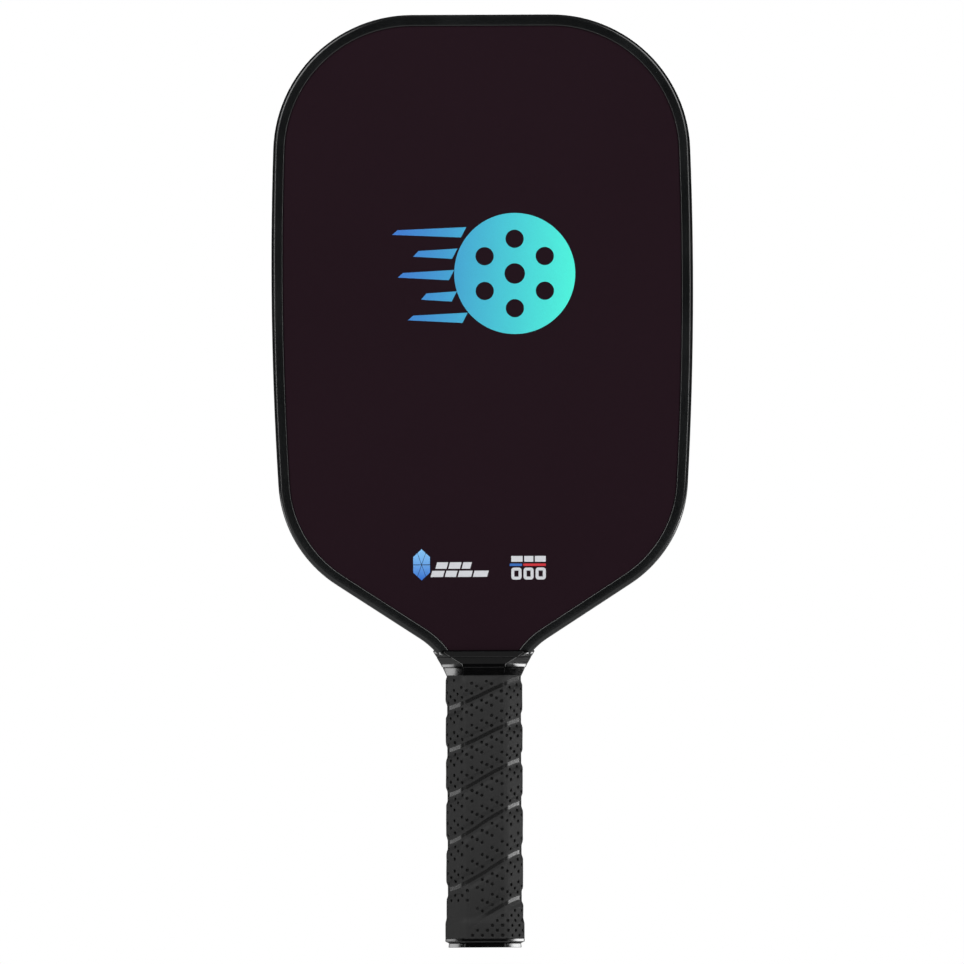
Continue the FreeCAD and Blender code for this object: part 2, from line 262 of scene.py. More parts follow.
class Graph:
    """A material under construction."""

    def __init__(self, name):
        self.material = bpy.data.materials.new(name)
        self.material.use_nodes = True
        self.nodes = self.material.node_tree.nodes
        self.links = self.material.node_tree.links
        self.shader = self.nodes["Principled BSDF"]

    def node(self, kind, **settings):
        made = self.nodes.new(kind)
        for name, value in settings.items():
            if name in made.inputs:
                made.inputs[name].default_value = value
            else:
                setattr(made, name, value)
        return made

    def link(self, source, target):
        self.links.new(source, target)

    def object_coords(self, scale=(1, 1, 1)):
        coords = self.node("ShaderNodeTexCoord")
        mapping = self.node("ShaderNodeMapping", Scale=scale)
        self.link(coords.outputs["Object"], mapping.inputs["Vector"])
        return mapping.outputs["Vector"]

    def noise(self, scale, detail, stretch=(1, 1, 1)):
        made = self.node("ShaderNodeTexNoise", Scale=scale, Detail=detail)
        self.link(self.object_coords(stretch), made.inputs["Vector"])
        return made.outputs["Fac"]

    def spread(self, value, low, high, start=0.3, end=0.7):
        """Maps a pattern's value onto another range."""
        made = self.node("ShaderNodeMapRange")
        made.inputs["From Min"].default_value = start
        made.inputs["From Max"].default_value = end
        made.inputs["To Min"].default_value = low
        made.inputs["To Max"].default_value = high
        self.link(value, made.inputs["Value"])
        return made.outputs["Result"]

    def math(self, operation, first, second):
        made = self.node("ShaderNodeMath", operation=operation)
        for socket, value in zip(made.inputs, (first, second)):
            if isinstance(value, (int, float)):
                socket.default_value = value
            else:
                self.link(value, socket)
        return made.outputs[0]

    def blend(self, factor, first, second):
        """A mix of two colours, each a value or a socket, by a factor socket."""
        made = self.node("ShaderNodeMix", data_type="RGBA")
        for place, value in zip(MIX_COLOURS, (first, second)):
            if isinstance(value, bpy.types.NodeSocket):
                self.link(value, made.inputs[place])
            else:
                made.inputs[place].default_value = (*value, 1)
        self.link(factor, made.inputs["Factor"])
        return made.outputs[MIX_RESULT]

    def bump(self, height, strength, distance, below=None):
        made = self.node("ShaderNodeBump", Strength=strength, Distance=distance)
        self.link(height, made.inputs["Height"])
        if below is not None:
            self.link(below, made.inputs["Normal"])
        return made.outputs["Normal"]

    def set(self, **values):
        """Sets the shader's sockets, from values or from other nodes."""
        for name, value in values.items():
            socket = self.shader.inputs[name.replace("_", " ")]
            if isinstance(value, bpy.types.NodeSocket):
                self.link(value, socket)
            else:
                socket.default_value = value
        return self.material


def scaled(value, factor):
    return tuple(min(1.0, part * factor) for part in value)


def laminate(tones):
    """Matt fibre laminate: a faint twill under a fine gritty skin."""
    g = Graph("matt_laminate")
    coords = g.object_coords()
    twill = g.node("ShaderNodeTexWave", Scale=95.0, Distortion=0.4, bands_direction="DIAGONAL")
    twill.inputs["Detail Scale"].default_value = 60.0
    g.link(coords, twill.inputs["Vector"])
    grit = g.noise(2600.0, 2.0)
    cloud = g.noise(9.0, 4.0)
    tint = g.blend(g.spread(cloud, 0.0, 1.0), scaled(tones.face, 0.96), scaled(tones.face, 1.05))
    tint = g.blend(g.spread(grit, 0.0, 0.22), tint, scaled(tones.face, 1.35))
    rough = g.spread(grit, 0.62, 0.78)
    lower = g.bump(twill.outputs["Fac"], 0.05, 0.00006)
    normal = g.bump(grit, 0.16, 0.00005, lower)
    return g.set(Base_Color=tint, Roughness=rough, Specular_IOR_Level=0.03, Normal=normal)


def guard_plastic(tones):
    """Satin moulded edge strip, with a fine mould grain and faint rubbing."""
    g = Graph("satin_guard_plastic")
    grain = g.noise(900.0, 3.0)
    rub = g.noise(38.0, 6.0, (1, 2.5, 1))
    tint = g.blend(g.spread(rub, 0.0, 1.0, 0.45, 0.8), tones.guard, scaled(tones.guard, 1.7))
    rough = g.math("ADD", g.spread(grain, 0.18, 0.23), g.spread(rub, 0.0, 0.05, 0.4, 0.8))
    normal = g.bump(grain, 0.12, 0.00008)
    return g.set(Base_Color=tint, Roughness=rough, Specular_IOR_Level=0.5, Normal=normal)


def collar_plastic(tones):
    """Polished plastic with faint swirls from handling."""
    g = Graph("polished_collar_plastic")
    swirl = g.noise(260.0, 4.0, (1, 1, 3))
    dust = g.noise(1800.0, 2.0)
    tint = g.blend(g.spread(dust, 0.0, 0.5, 0.62, 0.85), tones.collar, scaled(tones.collar, 2.2))
    rough = g.spread(swirl, 0.07, 0.15)
    normal = g.bump(swirl, 0.05, 0.00004)
    return g.set(Base_Color=tint, Roughness=rough, Specular_IOR_Level=0.42, Normal=normal)


def cap_plastic(tones):
    """Moulded plastic of the butt, a little duller than the collar."""
    g = Graph("moulded_cap_plastic")
    grain = g.noise(700.0, 3.0)
    scuff = g.noise(60.0, 6.0, (1, 1, 4))
    tint = g.blend(g.spread(scuff, 0.0, 0.8, 0.5, 0.8), tones.cap, scaled(tones.cap, 2.4))
    rough = g.math("ADD", g.spread(grain, 0.09, 0.13), g.spread(scuff, 0.0, 0.08, 0.45, 0.8))
    normal = g.bump(grain, 0.08, 0.00006)
    return g.set(Base_Color=tint, Roughness=rough, Specular_IOR_Level=0.5, Normal=normal)


def grip_leather(tones):
    """Dull, finely pebbled tape, smooth along its edge; painted shade darkens the groove there
    and the walls of its holes, whose floors show the black backing.
    """
    g = Graph("perforated_grip_tape")
    pebble = g.node("ShaderNodeTexVoronoi", Scale=2300.0)
    g.link(g.object_coords(), pebble.inputs["Vector"])
    fine = g.noise(1500.0, 3.0)
    cloud = g.noise(70.0, 4.0)
    edge = g.node("ShaderNodeAttribute", attribute_name="edge").outputs["Fac"]
    pit = g.node("ShaderNodeAttribute", attribute_name="pit").outputs["Fac"]
    speckle = g.math("MULTIPLY", g.spread(fine, 0.0, 1.0), g.math("SUBTRACT", 1.0, edge))
    tint = g.blend(g.spread(cloud, 0.0, 1.0), scaled(tones.grip, 0.92), scaled(tones.grip, 1.08))
    tint = g.blend(g.math("MULTIPLY", speckle, 0.35), tint, scaled(tones.grip, 1.9))
    # Painted shade: the groove along the tape's edge is darkened to 0.42 of the tape's tone.
    tint = g.blend(edge, tint, scaled(tones.grip, 0.42))
    # Painted shade down the holes' walls, deepening to the black of the backing at their floors.
    tint = g.blend(pit, tint, (0.0015, 0.0015, 0.0015))
    rough = g.spread(edge, 0.62, 0.27, 0.0, 1.0)
    rough = g.math("ADD", rough, g.spread(fine, -0.05, 0.05))
    skin = g.math("MULTIPLY", pebble.outputs["Distance"], g.math("SUBTRACT", 1.0, edge))
    normal = g.bump(skin, 0.25, 0.00010)
    normal = g.bump(fine, 0.08, 0.00006, normal)
    return g.set(Base_Color=tint, Roughness=rough, Specular_IOR_Level=0.32, Normal=normal)


def height_and_width(g):
    """The height of a point of a piece, and its place across."""
    place = g.node("ShaderNodeSeparateXYZ")
    g.link(g.object_coords(), place.inputs["Vector"])
    return place.outputs["Z"], place.outputs["X"]


def ink_grain(g):
    """The grit of the laminate, which shows through the ink."""
    return g.noise(2600.0, 2.0)


def dry_ink(g, tint, grain):
    """The dull surface that all the inks share."""
    rough = g.spread(grain, 0.50, 0.62)
    normal = g.bump(grain, 0.12, 0.00004)
    return g.set(Base_Color=tint, Roughness=rough, Specular_IOR_Level=0.2, Normal=normal)


def print_blend(name, tones, side):
    """Ink that runs from blue on the left of a face to turquoise on its right."""
    g = Graph(name)
    height, width = height_and_width(g)
    across = g.spread(width, 0.0, 0.97, 0.040 * side, -0.042 * side)
    down = g.spread(height, 0.04, 0.0, 0.275, 0.330)
    amount = g.math("ADD", across, down)
    bent = g.math("POWER", amount, 1.3)
    tint = g.blend(bent, tones.print_left, tones.print_right)
    grain = ink_grain(g)
    tint = g.blend(g.spread(grain, 0.0, 0.08), tint, tones.print_grit)
    return dry_ink(g, tint, grain)


def plain_ink(name, value):
    """One ink, with the grit of the laminate showing through it."""
    g = Graph(name)
    grain = ink_grain(g)
    tint = g.blend(g.spread(grain, 0.0, 0.18), value, scaled(value, 0.55))
    return dry_ink(g, tint, grain)


def icon_ink(tones):
    """Deep to pale blue ink, lighter at the top."""
    g = Graph("icon_ink")
    height, _ = height_and_width(g)
    rise = g.spread(height, 0.0, 1.0, 0.165, 0.179)
    tint = g.blend(rise, tones.icon_low, tones.icon_high)
    return dry_ink(g, tint, ink_grain(g))


def inner_finish(name, value, roughness, fine, metallic=0.0):
    """A finish for a piece inside the paddle: a fine grain over a slow change of tone."""
    g = Graph(name)
    grain = g.noise(fine, 4.0)
    cloud = g.noise(30.0, 3.0)
    tint = g.blend(g.spread(cloud, 0.0, 1.0), scaled(value, 0.88), scaled(value, 1.06))
    rough = g.spread(grain, roughness - 0.08, roughness + 0.08)
    normal = g.bump(grain, 0.2, 0.00008)
    return g.set(Base_Color=tint, Roughness=rough, Metallic=metallic, Normal=normal)


# ---------------------------------------------------------------- edge guard


# The slope of the straight run from the head down to the neck.
NECK_SLOPE = math.radians(33.0)
# Steps round the upper corner, the side, the lower corner and the neck.
TOP_STEPS = 28
SIDE_STEPS = 14
LOWER_STEPS = 20
NECK_STEPS = 10


def outline_centres(sizes):
    """The bends on the right of the outline, as (x, z), and the angles where they meet."""
    slope = NECK_SLOPE
    side = Vector((sizes.half_width - sizes.side_radius, sizes.widest))
    top_z = sizes.top - sizes.top_radius
    reach = sizes.side_radius - sizes.top_radius
    top = Vector((side.x + math.sqrt(reach**2 - (top_z - side.y) ** 2), top_z))
    neck = Vector((sizes.tongue + sizes.neck_radius, sizes.neck_height))
    along = Vector((math.cos(slope), math.sin(slope)))
    inward = Vector((-math.sin(slope), math.cos(slope)))
    offset = neck + inward * (sizes.neck_radius + sizes.lower_radius) - side
    forward = offset.dot(along)
    surplus = offset.length_squared - (sizes.side_radius - sizes.lower_radius) ** 2
    run = math.sqrt(forward**2 - surplus) - forward
    lower = side + offset + along * run
    top_angle = math.atan2(top.y - side.y, top.x - side.x)
    lower_angle = math.atan2(lower.y - side.y, lower.x - side.x)
    return {
        "top": top,
        "side": side,
        "lower": lower,
        "neck": neck,
        "run": run,
        "top_angle": top_angle,
        "lower_angle": lower_angle,
    }


def guard_profile(sizes):
    """The guard's section at the middle of the top, facing sideways."""
    start_clean()
    tip = sizes.top - sizes.reach
    web = sizes.top - sizes.web
    near = 10 * NEAR
    centre = (0, 0, sizes.top - sizes.reach / 2)
    bpy.ops.mesh.primitive_plane_add(size=1, location=centre, rotation=(0, math.pi / 2, 0))
    piece = bpy.context.object
    piece.scale = (sizes.reach, 2 * sizes.guard_half, 1)
    settle(piece)
    edit(piece)
    cuts = [
        ((0, sizes.panel_half, 0), (0, 1, 0)),
        ((0, -sizes.panel_half, 0), (0, 1, 0)),
        ((0, 0, web), (0, 0, 1)),
    ]
    for place, normal in cuts:
        bpy.ops.mesh.select_all(action="SELECT")
        bpy.ops.mesh.bisect(plane_co=place, plane_no=normal)
    pick(
        piece,
        "faces",
        lambda face: abs(middle(face).y) < sizes.panel_half and middle(face).z < web - near,
    )
    bpy.ops.mesh.delete(type="FACE")
    bpy.ops.mesh.select_all(action="SELECT")
    bpy.ops.mesh.dissolve_faces()
    bpy.ops.mesh.select_all(action="SELECT")
    bpy.ops.mesh.dissolve_limited(angle_limit=math.radians(5))
    outer = sizes.guard_half - near
    pick(piece, "verts", lambda v: abs(v.co.y) > outer and v.co.z > sizes.top - near)
    bpy.ops.mesh.bevel(offset=sizes.outer_round, segments=7, affect="VERTICES")
    pick(piece, "verts", lambda v: abs(v.co.y) > outer and v.co.z < tip + near)
    bpy.ops.mesh.bevel(offset=sizes.tip_round, segments=5, affect="VERTICES")
    return piece


def guard_strip(sizes):
    """The guard's section taken round the right of the head, then mirrored."""
    piece = guard_profile(sizes)
    bends = outline_centres(sizes)
    slope = NECK_SLOPE
    across = slope - math.pi / 2
    pick(piece, "faces", lambda face: True)
    bpy.ops.mesh.extrude_region_move(
        TRANSFORM_OT_translate={"value": (bends["top"].x, 0, 0)}
    )
    turns = [
        (bends["top"], math.pi / 2 - bends["top_angle"], TOP_STEPS),
        (bends["side"], bends["top_angle"] - bends["lower_angle"], SIDE_STEPS),
        (bends["lower"], bends["lower_angle"] - across, LOWER_STEPS),
    ]
    for centre, angle, steps in turns:
        spin(centre, angle, steps)
    back = (-bends["run"] * math.cos(slope), 0, -bends["run"] * math.sin(slope))
    bpy.ops.mesh.extrude_region_move(TRANSFORM_OT_translate={"value": back})
    rise = (sizes.guard_end - sizes.neck_height) / sizes.neck_radius
    last = math.pi / 2 - math.asin(rise) - slope
    spin(bends["neck"], -last, NECK_STEPS)
    pick(piece, "faces", lambda face: all(abs(v.co.x) < NEAR for v in face.verts))
    bpy.ops.mesh.delete(type="ONLY_FACE")
    bpy.ops.object.mode_set(mode="OBJECT")
    apply_modifier(piece, "MIRROR", use_axis=(True, False, False), use_clip=True)
    tidy_surface(piece)
    return name_piece(piece, "edge_guard_strip")


def spin(centre, angle, steps):
    """Carries the selected end of a strip round a bend, clockwise from the front."""
    bpy.ops.mesh.spin(
        steps=steps, angle=angle, center=(centre.x, 0, centre.y), axis=(0, -1, 0)
    )


# ---------------------------------------------------------------- eight-sided pieces


def stacked_octagons(rows, rounding, name):
    """A closed piece through eight-sided rings: height, half width, half depth, corner."""
    rings = []
    for height, half_width, half_depth, corner in rows:
        start_clean()
        bpy.ops.mesh.primitive_plane_add(size=1, location=(0, 0, height))
        ring = bpy.context.object
        ring.scale = (2 * half_width, 2 * half_depth, 1)
        settle(ring)
        edit(ring)
        bpy.ops.mesh.select_all(action="SELECT")
        bpy.ops.mesh.bevel(offset=corner, segments=1, affect="VERTICES")
        bpy.ops.mesh.select_all(action="SELECT")
        bpy.ops.mesh.bevel(offset=rounding, segments=4, affect="VERTICES")
        rings.append(ring)
    piece = join(rings, name)
    heights = [row[0] for row in rows]
    low, high = min(heights) + NEAR, max(heights) - NEAR
    edit(piece)
    pick(piece, "faces", lambda face: low < middle(face).z < high)
    bpy.ops.mesh.delete(type="ONLY_FACE")
    for first, second in zip(heights, heights[1:]):
        pair = (first, second)
        pick(piece, "edges", lambda edge: is_on_rings(edge, pair))
        bpy.ops.mesh.bridge_edge_loops()
    bpy.ops.object.mode_set(mode="OBJECT")
    tidy_surface(piece)
    return piece


def is_on_rings(edge, heights):
    """Whether an edge lies level at one of the heights."""
    first, second = edge.verts
    level = abs(first.co.z - second.co.z) < NEAR
    return level and any(abs(first.co.z - height) < NEAR for height in heights)


def handle_ring(height, inset, sizes):
    """A ring of the handle's octagon, moved inwards all round."""
    corner = sizes.corner - (2 - math.sqrt(2)) * inset
    return (height, sizes.half_width - inset, sizes.half_depth - inset, corner)


# The collar's rings from the grip to the face: height, half width, half depth and corner,
# in millimetres.
COLLAR_ROWS = [
    (121.9, 16.75, 14.95, 7.40),
    (122.3, 16.95, 15.20, 7.50),
    (125.5, 18.40, 15.20, 9.05),
    (125.75, 18.35, 15.05, 9.05),
    (126.0, 18.85, 15.22, 9.05),
    (127.1, 19.35, 15.20, 9.50),
    (127.4, 19.50, 15.05, 9.40),
    (127.7, 19.70, 14.75, 9.20),
    (130.3, 21.22, 12.25, 6.35),
    (130.42, 21.05, 11.80, 6.10),
    (130.75, 21.40, 11.85, 6.00),
    (132.6, 22.60, 10.05, 4.60),
    (133.2, 22.80, 9.50, 4.40),
    (133.5, 22.50, 9.05, 4.30),
    (133.6, 22.10, 8.75, 4.20),
]
# The rounding of its edges, in millimetres.
COLLAR_ROUNDING = 0.55


def collar():
    """The glossy moulding between the handle and the head."""
    rows = [tuple(value * MM for value in row) for row in COLLAR_ROWS]
    piece = stacked_octagons(rows, COLLAR_ROUNDING * MM, "throat_collar_moulding")
    smooth(piece, 28)
    return piece


# Rings of the butt cap's rim and of the end plate: height, and how far the handle's
# octagon is moved inwards, in millimetres.
RIM_ROWS = [
    (1.70, 0.60),
    (1.95, 0.35),
    (2.65, -1.08),
    (2.80, -1.22),
    (3.85, -1.18),
    (4.00, -1.08),
    (4.60, -0.40),
]
PLATE_ROWS = [(0.0, 0.38), (0.18, 0.20), (1.68, 0.38), (1.82, 0.50)]
# The rounding of the edges of both, in millimetres.
RIM_ROUNDING = 0.5
PLATE_ROUNDING = 0.4
# The steps of the dish under the end plate: a scale, and a rise in millimetres before it.
DISH_STEPS = [(0.84, 0.0), (0.96, 0.35), (0.68, 0.0), (0.92, -0.2)]


def butt_rim(sizes):
    """The visible rim of the butt cap, with a slope down to the end plate."""
    rows = [handle_ring(height * MM, inset * MM, sizes) for height, inset in RIM_ROWS]
    piece = stacked_octagons(rows, RIM_ROUNDING * MM, "butt_cap_rim")
    smooth(piece, 30)
    return piece


def end_plate(sizes):
    """The end plate, with a shallow eight-sided dish in its underside."""
    rows = [handle_ring(height * MM, inset * MM, sizes) for height, inset in PLATE_ROWS]
    piece = stacked_octagons(rows, PLATE_ROUNDING * MM, "butt_end_disc")
    edit(piece)
    pick(piece, "faces", lambda face: face.normal.z < -0.9)
    for across, rise in DISH_STEPS:
        bpy.ops.mesh.extrude_region_move(TRANSFORM_OT_translate={"value": (0, 0, rise * MM)})
        bpy.ops.transform.resize(value=(across, across, 1), center_override=(0, 0, 0))
    bpy.ops.object.mode_set(mode="OBJECT")
    smooth(piece, 30)
    return piece


# ---------------------------------------------------------------- grip tape

# Heights of the tape's edge at the middle of the front, turn by turn from the top.
EDGE_HEIGHTS = [133.0, 114.2, 95.4, 76.6, 56.6, 33.9, 14.4, -7.0]
FIRST_TURN = -1
# The tape starts a little left of the middle of the front, on its sixth turn.
TAPE_START = 5.06
# How many turns of the spiral are made, the highest of them cut off by the collar.
TURNS = 7
# How steeply each edge crosses the front, from the turn above the first edge down.
SLOPES = [2.40, 2.40, 2.50, 3.00, 3.12, 3.00, 3.20, 3.20]
# How many turns before the tape's start its edge begins to fade, and where it is gone.
FADE_START = 0.12
FADE_END = 0.02
# Blocks round the handle, fine columns and rows in a block, and rows of holes in the tape.
COLUMNS = 48
FINE = 3
HOLE_ROWS = 7
# The width of the tape from edge to edge, in millimetres.
PITCH = 20.0
# The plain margin along each edge, as a share of that width.
MARGIN = 0.078
# Rows across the margin, in millimetres from the edge.
EDGE_STEPS = (0.0, 0.35, 0.62, 0.78, 0.92, 1.15)
# Distances from the edge, in metres: where the cushion begins and is full, where the crease
# lies and how wide it is, and where the smooth edge ends.
CUSHION_START = 1.25 * MM
CUSHION_FULL = 4.5 * MM
CREASE_PLACE = 0.80 * MM
CREASE_WIDTH = 0.13 * MM
CREASE_DEPTH = 0.16 * MM
SMOOTH_END = 1.05 * MM
# The unevenness of the winding: waves round the handle, waves along it and depth.
SWAYS = [(3, 310, 0.05 * MM), (5, -173, 0.04 * MM)]
# Heights between which the flare at the butt fades out, and the deepest that the tape's outside
# may lie inside that flare, or inside the octagon above it.
FLARE_FADE = (10.4 * MM, 15.6 * MM)
DEEPEST = 0.02 * MM
# Heights between which the tape's tuck under the collar fades in, and its depth.
COLLAR_FADE = (119.5 * MM, 122.0 * MM)
COLLAR_TUCK = 0.45 * MM
# How far below the tape's upper end a block has to reach to be made, and a hole to stay.
TOP_REACH = 0.02 * MM
TOP_GAP = 0.5 * MM
# The depth of the tape's inner side, and how much less it is over the butt cap's wall.
INSIDE_DEPTH = 1.7 * MM
CAP_WALL = 1.05 * MM
CAP_FADE = (14 * MM, 15.5 * MM)
# Rings of a hole: share of its radius, depth and darkness, the darkness being painted shade down
# the hole's wall. The last one is its floor, darkened fully where the black backing shows.
HOLE_RINGS = [(1.18, 0.0, 0.0), (1.03, 0.10 * MM, 0.35), (0.92, 0.26 * MM, 0.9)]
HOLE_FLOOR = (0.86, 1.0)
HOLE_SPREAD = (0.90, 1.06)
# How far the spiral's lowest margin dips into the first turn.
TUCK = 0.16 * MM
# The first turn: rows, height of a row and of the lowest one's start, in millimetres.
LOWER_ROWS = 14
LOWER_ROW = 2.25
LOWER_START = 0.27
# How deep the first turn goes where the spiral lies over it, and over what height.
SINK = 0.7 * MM
SINK_FADE = (0.05 * MM, 0.9 * MM)
# How far the first turn goes on under the spiral, and how far its holes stay away from it.
UNDERLAP = 0.6 * MM
HOLE_GAP = 0.9 * MM
# Turns between which the first turn is plain, and up to what height.
PLAIN_TURNS = (0.055, 0.32)
PLAIN_TOP = 19.5 * MM


class Handle:
    """The wound handle's rounded octagon, followed from mid-front clockwise from above."""

    def __init__(self, sizes):
        self.sizes = sizes
        self.radius = sizes.rounding
        width = sizes.half_width - self.radius
        depth = sizes.half_depth - self.radius
        corner = sizes.corner - (2 - math.sqrt(2)) * self.radius
        x, y = width - corner, depth - corner
        corners = [(-x, -depth), (-width, -y), (-width, y), (-x, depth)]
        corners += [(x, depth), (width, y), (width, -y), (x, -depth)]
        self.corners = [Vector(place) for place in corners]
        turns = [-90 - 45 * step for step in range(9)]
        self.turns = [math.radians(turn) for turn in turns]
        self.parts = []
        place = 0.0
        start = Vector((0, -depth))
        for index, corner_place in enumerate(self.corners):
            run = (corner_place - start).length
            self.parts.append((place, run, "flat", start, corner_place, index))
            place += run
            bend = self.radius * math.pi / 4
            self.parts.append((place, bend, "bend", corner_place, corner_place, index))
            place += bend
            start = corner_place
        end = Vector((0, -depth))
        run = (end - start).length
        self.parts.append((place, run, "flat", start, end, 8))
        self.round = place + run

    def around(self, share):
        """The core point and the outward direction at a share of the way round."""
        place = (share % 1.0) * self.round
        for start, run, kind, first, second, index in self.parts:
            if place <= start + run + 1e-12:
                amount = (place - start) / run
                if kind == "flat":
                    angle = self.turns[index]
                    return first.lerp(second, amount), angle
                angle = self.turns[index] - amount * math.pi / 4
                return first, angle
        return self.parts[-1][4], self.turns[8]

    def point(self, share, height, lift):
        """The place at a share of the way round and a height, lifted off the octagon."""
        core, angle = self.around(share)
        reach = self.radius + lift
        return (core.x + math.cos(angle) * reach, core.y + math.sin(angle) * reach, height)


def front_share(share):
    """How far the tape's edge has come down, in turns, a share of the way round."""
    whole = math.floor(share + 0.5)
    part = share - whole
    slope = SLOPES[max(0, min(len(SLOPES) - 1, whole - FIRST_TURN))]
    inner = max(-0.25, min(0.25, part))
    window = inner / 2 + math.sin(4 * math.pi * inner) / (8 * math.pi)
    return whole + (1 - slope / 4) * part + slope * window


def edge_height(turn):
    """The height of the tape's edge for a number of turns, in metres."""
    place = turn - FIRST_TURN
    index = max(0, min(len(EDGE_HEIGHTS) - 2, math.floor(place)))
    amount = place - index
    first, second = EDGE_HEIGHTS[index], EDGE_HEIGHTS[index + 1]
    return (first + (second - first) * amount) * MM


def turn_at(height):
    """The number of turns for a height: the reverse of edge_height."""
    value = height / MM
    for index in range(len(EDGE_HEIGHTS) - 1):
        first, second = EDGE_HEIGHTS[index], EDGE_HEIGHTS[index + 1]
        if value >= second or index == len(EDGE_HEIGHTS) - 2:
            return FIRST_TURN + index + (first - value) / (first - second)
    return 0.0


def ease(value, low, high):
    """A smooth rise from 0 at low to 1 at high."""
    amount = max(0.0, min(1.0, (value - low) / (high - low)))
    return amount * amount * (3 - 2 * amount)


def edge_distance(share, height):
    """The distance to the nearest edge of the tape, and how far that edge is there."""
    near = math.floor(turn_at(height) - share)
    best, strength = 1.0, 0.0
    for whole in range(near - 1, near + 3):
        along = share + whole
        present = 1 - ease(along, TAPE_START - FADE_START, TAPE_START + FADE_END)
        gap = abs(edge_height(front_share(along)) - height)
        if present > 0 and gap < best:
            best, strength = gap, present
    return best, strength


def lift_at(share, height, sizes):
    """How far the tape's outside stands off the handle's plain octagon."""
    gap, strength = edge_distance(share, height)
    rise = ease(gap, CUSHION_START, CUSHION_FULL)
    dip = -sizes.valley + (sizes.valley + sizes.crown) * rise
    crease = math.exp(-(((gap - CREASE_PLACE) / CREASE_WIDTH) ** 2)) * CREASE_DEPTH
    wave = sizes.crown + (dip - crease - sizes.crown) * strength
    angle = 2 * math.pi * share
    sway = sum(math.sin(turns * angle + height * run) * depth for turns, run, depth in SWAYS)
    flare = sizes.flare * (1 - ease(height, *FLARE_FADE))
    tuck = ease(height, *COLLAR_FADE) * COLLAR_TUCK
    return max(wave + sway - tuck, flare - DEEPEST)


class TapeMesh:
    """Collects the faces of one closed layer of tape, with the outside, inside and holes.

    place gives the share of the way round and the height of a fine column and row, same gives
    the one name of a vertex that has two, and sink gives how deep the outside is pressed.
    """

    def __init__(self, handle, sizes, place, same, sink):
        self.sink = sink
        self.handle = handle
        self.sizes = sizes
        self.place = place
        self.same = same
        self.verts = []
        self.edge = []
        self.pit = []
        self.faces = []
        self.index = {}
        self.chance = random.Random(7)

    def add(self, share, height, lift, edge=0.0, pit=0.0):
        self.verts.append(self.handle.point(share, height, lift))
        self.edge.append(edge)
        self.pit.append(pit)
        return len(self.verts) - 1

    def fine(self, column, row, layer):
        """The vertex at a fine column and row of the outside ("out") or the inside ("in")."""
        column, row = self.same(column, row)
        key = (column, row, layer)
        if key not in self.index:
            share, height = self.place(column, row)
            gap, strength = edge_distance(share, height)
            if layer == "out":
                lift = lift_at(share, height, self.sizes) - self.sink(share, height)
                # The mask of the smooth edge, which the tape's finish also uses to paint shade
                # into the groove there.
                edge = strength * (1 - ease(gap, CREASE_PLACE, SMOOTH_END))
                self.index[key] = self.add(share, height, lift, edge)
            else:
                lift = CAP_WALL * (1 - ease(height, *CAP_FADE)) - INSIDE_DEPTH
                self.index[key] = self.add(share, height, lift)
        return self.index[key]

    def hole(self, column, row):
        """A block of the outside with a round hole in it that ends in a floor."""
        n = FINE
        rim = [(i, 0) for i in range(n)] + [(n, j) for j in range(n)]
        rim += [(n - i, n) for i in range(n)] + [(0, n - j) for j in range(n)]
        outer = [self.fine(column + i, row + j, "out") for i, j in rim]
        share, height = self.place(column + n / 2, row + n / 2)
        size = self.sizes.hole * self.chance.uniform(*HOLE_SPREAD)
        lift = lift_at(share, height, self.sizes)
        rings = [*HOLE_RINGS, (HOLE_FLOOR[0], self.sizes.hole_depth, HOLE_FLOOR[1])]
        spots = []
        for i, j in rim:
            other, level = self.place(column + i, row + j)
            across = (other - share) * self.handle.round
            spots.append(math.atan2(level - height, across))
        loops = [outer]
        # Each ring's darkness is painted shade on the wall; at the floor it is the black
        # backing.
        for scale, depth, dark in rings:
            loop = []
            for angle in spots:
                away = math.cos(angle) * size * scale / self.handle.round
                up = math.sin(angle) * size * scale
                here = lift_at(share + away, height + up, self.sizes) if depth == 0 else lift
                loop.append(self.add(share + away, height + up, here - depth, 0.0, dark))
            loops.append(loop)
        count = len(outer)
        for first, second in zip(loops, loops[1:]):
            for k in range(count):
                m = (k + 1) % count
                self.faces.append((first[k], first[m], second[m], second[k]))
        self.faces.append(tuple(loops[-1]))

    def plain(self, column, row, columns, rows):
        """A block of the outside without a hole."""
        for i in range(columns):
            for j in range(rows):
                corners = ((i, j), (i + 1, j), (i + 1, j + 1), (i, j + 1))
                self.faces.append(
                    tuple(self.fine(column + a, row + b, "out") for a, b in corners)
                )

    def inside(self, column, row, columns, rows):
        """The one face on the inside of a block."""
        corners = ((0, 0), (0, rows), (columns, rows), (columns, 0))
        self.faces.append(tuple(self.fine(column + a, row + b, "in") for a, b in corners))

    def wall(self, start, end):
        """A face between the outside and the inside, along an open side of the tape."""
        steps = max(abs(end[0] - start[0]), abs(end[1] - start[1]))
        across = (end[0] - start[0]) // steps
        up = (end[1] - start[1]) // steps
        outer = [
            self.fine(start[0] + across * k, start[1] + up * k, "out") for k in range(steps + 1)
        ]
        inner = [self.fine(*end, "in"), self.fine(*start, "in")]
        self.faces.append(tuple(outer + inner))

    def build(self, name):
        """Makes the object, leaving out a corner that repeats the one before it."""
        mesh = bpy.data.meshes.new(name)
        faces = []
        for face in self.faces:
            kept = [v for k, v in enumerate(face) if v != face[k - 1]]
            if len(kept) > 2:
                faces.append(kept)
        mesh.from_pydata(self.verts, [], faces)
        for title, values in (("edge", self.edge), ("pit", self.pit)):
            layer = mesh.attributes.new(title, "FLOAT", "POINT")
            layer.data.foreach_set("value", values)
        piece = bpy.data.objects.new(name, mesh)
        bpy.context.scene.collection.objects.link(piece)
        return piece


